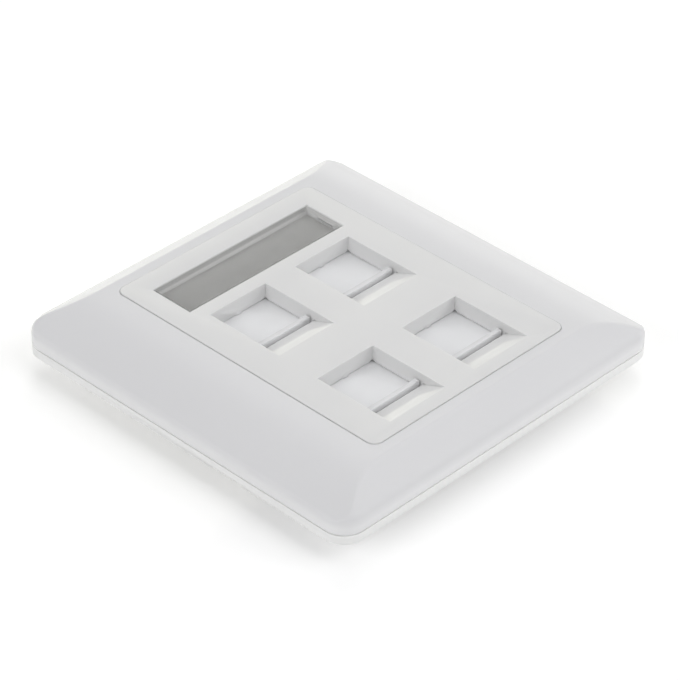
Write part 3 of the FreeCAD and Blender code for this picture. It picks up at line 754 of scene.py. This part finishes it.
# ---- Base plate ------------------------------------------------------------------------
# The openings' edges lie within these two limits, the panel's outline beyond them.
LIMIT_X = 3 * MM              # outwards from the label window's end
LIMIT_Y = 10 * MM             # inwards from the plate's upper and lower ends
OUTLINE_BAND = 1 * MM         # the panel's outline is this near to its outermost points
RIM_WIDTH = 2.6 * MM          # the base rim is this near to the plate's sides


class FACEPLATE_OT_base_plate(bpy.types.Operator):
    """Lower the collars, narrow the seam and round the edges of the satin base plate"""
    bl_idname = "faceplate.base_plate"
    bl_label = "Base plate"

    def execute(self, context):
        settings = context.scene.faceplate
        s = settings.panel
        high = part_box("base_plate")[1]
        obj = copy_of_node("base_plate", "panel_and_flange")
        limit_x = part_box("label_window")[1].x + LIMIT_X
        limit_y = high.y - LIMIT_Y

        def on_face(a, b):
            return min(a.z, b.z) > high.z - NEAR

        def panel_outline(a, b):
            middle = (a + b) / 2
            return on_face(a, b) and (abs(middle.x) > limit_x or abs(middle.y) > limit_y)

        def opening_edge(a, b):
            return on_face(a, b) and not panel_outline(a, b)

        def rim_edge(a, b):
            outer = all(max(abs(p.x), abs(p.y)) > high.x - RIM_WIDTH for p in (a, b))
            level = abs(a.z - b.z) < NEAR
            return outer and level and (a.z < NEAR or abs(a.z - RIM_HEIGHT) < NEAR)

        self.lower_collars(obj, s)
        self.narrow_seam(obj, s, high.z - NEAR)
        for wanted, width in ((panel_outline, s.edge), (opening_edge, s.port_edge),
                              (rim_edge, s.rim_edge)):
            select_edges(obj, wanted)
            round_selected(width)
        smooth(obj)
        finish = settings.finish
        satin = satin_plastic("panel_satin", finish.panel, finish.panel_rough,
                              finish.panel_sheen)
        # Painted light: the base rim runs paler, for the light from the floor.
        colour_beyond(satin, finish.foot, BASE_RIM_PAINTED_LIGHT)
        dress(obj, satin, PLATE, "base_plate")
        return {"FINISHED"}

    @staticmethod
    def narrow_seam(obj, s, face):
        """Narrow the seam right of and above the panel, where the photo hardly shows it."""
        reach = half_of_top("base_plate") - Vector((OUTLINE_BAND, OUTLINE_BAND))
        border = {(round(v.co.x, 6), round(v.co.y, 6)) for v in obj.data.vertices
                  if v.co.z > face and (abs(v.co.x) > reach.x or abs(v.co.y) > reach.y)}
        for vertex in obj.data.vertices:
            x, y = vertex.co.x, vertex.co.y
            if (round(x, 6), round(y, 6)) in border:
                vertex.co.x += s.seam_closed * (x > 0)
                vertex.co.y += s.seam_closed * (y > 0)

    @staticmethod
    def lower_collars(obj, s):
        """Bring the openings' lower edges close to the shutters, with small corner reliefs."""
        plate = shutter_face()
        middles = [centre(f"shutter_{port}").x for port in PORTS]
        for vertex in obj.data.vertices:
            above = vertex.co.z - plate
            in_corner = min(abs(vertex.co.x - x) for x in middles) > RELIEF_FROM
            if abs(above - COLLAR_GAP) < NEAR:
                vertex.co.z = plate + s.collar_gap
            elif abs(above - COLLAR_GAP - RELIEF_RISE) < NEAR and in_corner:
                vertex.co.z = plate + s.collar_gap + s.relief


# ---- Shutters, jack frames and springs -------------------------------------------------
WIRE_SIDES = 10               # sides of the spring's wire
TURN_STEPS = 20               # pieces in each of its turns
CLOSE_PITCH = 1.08            # pitch of the closed end turns, in wire thicknesses


def repeat_at_ports(first, node_stem, piece_stem, material, body_of_port):
    """Dress the first piece for port 1 and lay a copy of it at each other port."""
    home = centre(f"{node_stem}_1")
    for port in PORTS[1:]:
        other = first.copy()
        other.data = first.data.copy()
        other.name = other.data.name = f"{piece_stem}_{port}"
        bpy.context.scene.collection.objects.link(other)
        other.location = centre(f"{node_stem}_{port}") - home
        bake_place(other)
        dress(other, material, body_of_port(port), f"{node_stem}_{port}")
    dress(first, material, body_of_port(1), f"{node_stem}_1")


class FACEPLATE_OT_shutters(bpy.types.Operator):
    """Model the sliding dust shutter of each port"""
    bl_idname = "faceplate.shutters"
    bl_label = "Dust shutters"

    def execute(self, context):
        settings = context.scene.faceplate
        obj = copy_of_node("shutter_1", "dust_shutter_1")
        round_edges(obj, settings.mechanism.shutter_edge)
        smooth(obj)
        finish = settings.finish
        # The shutters' colour is partly painted light, paler than the panel against the shade of
        # their recesses.
        material = glossy_plastic("shutter_gloss", finish.shutter, finish.shutter_rough,
                                  finish.shutter_sheen, finish.shutter_depth)
        # Painted shade: the pull bar runs darker than the shutter's face.
        colour_beyond(material, finish.bar, [shutter_face() + rise for rise in SHUTTER_BAR_PAINTED_SHADE])
        repeat_at_ports(obj, "shutter", "dust_shutter", material,
                        lambda port: f"shutter_{port}")
        return {"FINISHED"}


class FACEPLATE_OT_jack_frames(bpy.types.Operator):
    """Model the keystone holder behind each port"""
    bl_idname = "faceplate.jack_frames"
    bl_label = "Jack frames"

    def execute(self, context):
        settings = context.scene.faceplate
        obj = copy_of_node("jack_frame_1", "jack_holder_1")
        round_edges(obj, settings.mechanism.frame_edge)
        smooth(obj)
        finish = settings.finish
        material = satin_plastic("jack_frame_satin", finish.jack_frame, finish.panel_rough,
                                 finish.panel_sheen)
        repeat_at_ports(obj, "jack_frame", "jack_holder", material,
                        lambda port: PLATE)
        return {"FINISHED"}


class FACEPLATE_OT_springs(bpy.types.Operator):
    """Wind the return spring of each shutter"""
    bl_idname = "faceplate.springs"
    bl_label = "Return springs"

    def execute(self, context):
        settings = context.scene.faceplate
        s = settings.mechanism
        low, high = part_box("shutter_spring_1")
        span = high.y - low.y - s.wire
        coil = (high.x - low.x - s.wire) / 2
        deselect_all()
        bpy.ops.mesh.primitive_circle_add(vertices=WIRE_SIDES, radius=s.wire / 2,
                                          location=(coil, 0, 0), rotation=(math.pi / 2, 0, 0))
        obj = bpy.context.object
        obj.name = obj.data.name = "return_spring_1"
        bake_place(obj)
        apply_modifier(obj, "SCREW", axis="Z", steps=TURN_STEPS, render_steps=TURN_STEPS,
                       iterations=s.turns, screw_offset=span / s.turns,
                       use_merge_vertices=True)
        self.close_ends(obj, span, s)
        obj.rotation_euler = (-math.pi / 2, 0, 0)
        middle = (low + high) / 2
        obj.location = (middle.x, low.y + s.wire / 2, middle.z)
        bake_place(obj)
        edit(obj, lambda: bpy.ops.mesh.normals_make_consistent(inside=False))
        smooth(obj, 60)
        material = spring_steel("spring_steel", settings.finish.steel)
        repeat_at_ports(obj, "shutter_spring", "return_spring", material,
                        lambda port: PLATE)
        for port in PORTS:
            low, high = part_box(f"shutter_spring_{port}")
            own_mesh(bpy.data.objects[f"return_spring_{port}"])
        return {"FINISHED"}

    @staticmethod
    def close_ends(obj, span, s):
        """Cap the wire's two ends and draw the end turns together, as on a wound spring."""
        edit(obj, lambda: (bpy.ops.mesh.select_all(action="DESELECT"),
                           bpy.ops.mesh.select_mode(type="EDGE"),
                           bpy.ops.mesh.select_non_manifold(),
                           bpy.ops.mesh.fill()))
        pitch = span / s.turns
        close = s.wire * CLOSE_PITCH
        flat = s.closed * s.turns
        slack = (span - 2 * flat * close) / (s.turns - 2 * flat)
        for vertex in obj.data.vertices:
            angle = math.atan2(vertex.co.y, vertex.co.x) % (2 * math.pi)
            turn = angle / (2 * math.pi)
            level = round(vertex.co.z / pitch - turn) + turn
            lift = vertex.co.z - level * pitch
            level = min(max(level, 0.0), float(s.turns))
            run = (min(level, flat) * close
                   + min(max(level - flat, 0), s.turns - 2 * flat) * slack
                   + max(level - s.turns + flat, 0) * close)
            vertex.co.z = run + lift


# ---- Label -----------------------------------------------------------------------------
PANE_EDGE = 0.06 * MM         # round of the pane's edges


class FACEPLATE_OT_label(bpy.types.Operator):
    """Model the clear window over the label and finish the paper card"""
    bl_idname = "faceplate.label"
    bl_label = "Label window and card"

    def execute(self, context):
        finish = context.scene.faceplate.finish
        obj = copy_of_node("label_window", "label_pane")
        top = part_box("label_window")[1].z
        self.raise_rim(obj, top, context.scene.faceplate.panel)
        round_edges(obj, PANE_EDGE)
        smooth(obj)
        clear = clear_plastic("window_clear", finish.window, finish.window_cover)
        dress(obj, clear, PLATE, "label_window")
        # Painted shade: the rim is dark grey for the shade of the label pocket's walls.
        rim = clear_plastic("rim_painted_shade_and_light", finish.rim, finish.rim_cover)
        # Painted reflection: the rim turns pale at the label's right end.
        colour_beyond(rim, finish.rim_end_painted_light, RIM_END_PAINTED_LIGHT, axis="X")
        obj.data.materials.append(rim)
        for face in obj.data.polygons:
            face.material_index = int(face.center.z > top + 2 * NEAR)
        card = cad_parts["label_card"]
        card.data.materials.clear()
        card.data.materials.append(paper("label_paper", finish.card))
        return {"FINISHED"}

    @staticmethod
    def raise_rim(obj, top, s):
        """Square the pane's upper edge and raise a thin rim on it, up to just below the panel."""
        upper = [v for v in obj.data.vertices if v.co.z > top - NEAR]
        inner = max(v.co.x for v in upper)
        edge_y = [v.co.y for v in upper]
        middle = (max(edge_y) + min(edge_y)) / 2
        half_y = max(edge_y) - middle
        low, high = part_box("label_window")
        grow = (high.y - low.y) / 2 - half_y
        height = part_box("base_plate")[1].z - s.window_rim_drop - top

        def pick_top(level):
            bpy.ops.mesh.select_all(action="DESELECT")
            mesh = bmesh.from_edit_mesh(obj.data)
            for face in mesh.faces:
                face.select_set(abs(face.calc_center_median().z - level) < MERGE
                                and face.normal.z > 0.9)
            bmesh.update_edit_mesh(obj.data)

        def raise_and_hollow():
            pick_top(top)
            bpy.ops.transform.resize(value=((inner + grow) / inner, (half_y + grow) / half_y, 1),
                                     center_override=(0, middle, top))
            bpy.ops.mesh.extrude_region_move(
                TRANSFORM_OT_translate={"value": (0, 0, height)})
            bpy.ops.mesh.inset(thickness=s.window_rim)
            bpy.ops.mesh.extrude_region_move(
                TRANSFORM_OT_translate={"value": (0, 0, -height)})

        edit(obj, raise_and_hollow)


# ---- Studio ----------------------------------------------------------------------------
# Sizes in metres: a side of the floor, and the width and height of each kind of lamp.
FLOOR_SIZE = 6.0
BROAD, HIGH, LOW = (0.7, 0.4), (0.5, 0.4), (0.75, 0.25)
SQUARE, SMALL = (0.6, 0.6), (0.008, 0.008)


def seen_directly(tree):
    """1 for the rays of the camera, of mirrors and of glass, 0 for the light on the object."""
    nodes, links = tree.nodes, tree.links
    path = nodes.new("ShaderNodeLightPath")
    seen = path.outputs["Is Camera Ray"]
    for other in ("Is Glossy Ray", "Is Transmission Ray"):
        either = nodes.new("ShaderNodeMath")
        either.operation = "MAXIMUM"
        links.new(seen, either.inputs[0])
        links.new(path.outputs[other], either.inputs[1])
        seen = either.outputs[0]
    return seen


def lamp(name, energy, bearing, height, size, away=1.0, colour=(1, 1, 1)):
    """A rectangular lamp facing the plate, at a bearing from +X and a height in degrees."""
    light = bpy.data.lights.new(name, "AREA")
    light.energy = energy
    light.color = colour
    light.shape = "RECTANGLE"
    light.size, light.size_y = size
    around, up = math.radians(bearing), math.radians(height)
    obj = bpy.data.objects.new(name, light)
    obj.location = away * Vector((math.cos(around) * math.cos(up),
                                  math.sin(around) * math.cos(up), math.sin(up)))
    obj.rotation_euler = (-obj.location).to_track_quat("-Z", "Y").to_euler()
    bpy.context.scene.collection.objects.link(obj)


class FACEPLATE_OT_studio(bpy.types.Operator):
    """Set up the floor, the soft lamps, the white surroundings and the camera"""
    bl_idname = "faceplate.studio"
    bl_label = "Studio"

    def execute(self, context):
        s = context.scene.faceplate.studio
        self.floor(s)
        self.surroundings(s)
        lamp("lamp_top", s.top, 270, 90, SQUARE)
        lamp("lamp_left", s.left, 180, 28, BROAD)
        lamp("lamp_front", s.front, 270, 52, HIGH)
        lamp("lamp_right", s.right, 315, 28, BROAD)
        lamp("lamp_right_low", s.right_low, 315, 8, LOW)
        lamp("lamp_back", s.back, 45, 52, HIGH)
        lamp("lamp_back_low", s.back_low, 45, 8, LOW)
        lamp("lamp_spark", s.spark, 75.7, 4.6, SMALL, away=1.5, colour=s.spark_colour)
        self.camera(s)
        context.scene.view_settings.view_transform = "Standard"
        return {"FINISHED"}

    @staticmethod
    def floor(s):
        """White floor at the wall plane. Its small glow is seen, but lights nothing."""
        deselect_all()
        bpy.ops.mesh.primitive_plane_add(size=FLOOR_SIZE, location=(0, 0, CAD_BOX[0].z))
        floor = bpy.context.object
        floor.name = floor.data.name = "studio_floor"
        material = bpy.data.materials.new("floor_white")
        material.use_nodes = True
        tree = material.node_tree
        shader = tree.nodes["Principled BSDF"]
        shader.inputs["Base Color"].default_value = (0.95, 0.95, 0.95, 1)
        shader.inputs["Roughness"].default_value = 0.9
        shader.inputs["Specular IOR Level"].default_value = 0.0
        shader.inputs["Emission Color"].default_value = (1, 1, 1, 1)
        glow = tree.nodes.new("ShaderNodeMath")
        glow.operation = "MULTIPLY"
        glow.inputs[1].default_value = s.backdrop
        tree.links.new(seen_directly(tree), glow.inputs[0])
        tree.links.new(glow.outputs[0], shader.inputs["Emission Strength"])
        floor.data.materials.append(material)

    @staticmethod
    def surroundings(s):
        """White all round for the camera and in mirrors, dim as a light on the object."""
        world = bpy.data.worlds.new("studio_white")
        bpy.context.scene.world = world
        world.use_nodes = True
        tree = world.node_tree
        back = tree.nodes["Background"]
        back.inputs["Color"].default_value = (1, 1, 1, 1)
        pick = tree.nodes.new("ShaderNodeMapRange")
        pick.inputs["To Min"].default_value = s.world
        pick.inputs["To Max"].default_value = 1.0
        tree.links.new(seen_directly(tree), pick.inputs["Value"])
        tree.links.new(pick.outputs["Result"], back.inputs["Strength"])

    @staticmethod
    def camera(s):
        """Place the camera by its direction, height, roll and distance to the target."""
        level = math.cos(s.elevation)
        ahead = Vector((-math.sin(s.azimuth) * level, math.cos(s.azimuth) * level,
                        -math.sin(s.elevation)))
        right = ahead.cross(Vector((0, 0, 1))).normalized()
        up = right.cross(ahead)
        turned_right = math.cos(s.roll) * right + math.sin(s.roll) * up
        turned_up = -math.sin(s.roll) * right + math.cos(s.roll) * up
        data = bpy.data.cameras.new("studio_camera")
        data.lens = s.lens
        data.sensor_width = 36.0
        camera = bpy.data.objects.new("studio_camera", data)
        turn = Matrix((turned_right, turned_up, -ahead)).transposed().to_4x4()
        camera.matrix_world = Matrix.Translation(Vector(s.target) - ahead * s.distance) @ turn
        bpy.context.scene.collection.objects.link(camera)
        bpy.context.scene.camera = camera


# ---- Add-on ----------------------------------------------------------------------------
OPERATORS = (
    FACEPLATE_OT_cover_frame,
    FACEPLATE_OT_base_plate,
    FACEPLATE_OT_shutters,
    FACEPLATE_OT_jack_frames,
    FACEPLATE_OT_springs,
    FACEPLATE_OT_label,
    FACEPLATE_OT_studio,
)


class FACEPLATE_PT_panel(bpy.types.Panel):
    """Lists the faceplate's pieces and their settings"""
    bl_idname = "FACEPLATE_PT_panel"
    bl_label = "Keystone Faceplate"
    bl_space_type = "VIEW_3D"
    bl_region_type = "UI"
    bl_category = "Faceplate"

    def draw(self, context):
        for operator in OPERATORS:
            self.layout.operator(operator.bl_idname)
        settings = context.scene.faceplate
        for group in ("cover", "panel", "mechanism", "finish", "studio"):
            box = self.layout.box()
            box.label(text=group.title())
            values = getattr(settings, group)
            for name in values.__annotations__:
                box.prop(values, name)


CLASSES = (CoverSettings, PanelSettings, MechanismSettings, FinishSettings, StudioSettings,
           FaceplateSettings, *OPERATORS, FACEPLATE_PT_panel)


def register():
    for cls in CLASSES:
        bpy.utils.register_class(cls)
    bpy.types.Scene.faceplate = PointerProperty(type=FaceplateSettings)


def unregister():
    del bpy.types.Scene.faceplate
    for cls in reversed(CLASSES):
        bpy.utils.unregister_class(cls)


def main():
    register()
    bpy.ops.faceplate.cover_frame()
    bpy.ops.faceplate.base_plate()
    bpy.ops.faceplate.shutters()
    bpy.ops.faceplate.jack_frames()
    bpy.ops.faceplate.springs()
    bpy.ops.faceplate.label()
    bpy.ops.faceplate.studio()


if __name__ == "__main__":
    main()
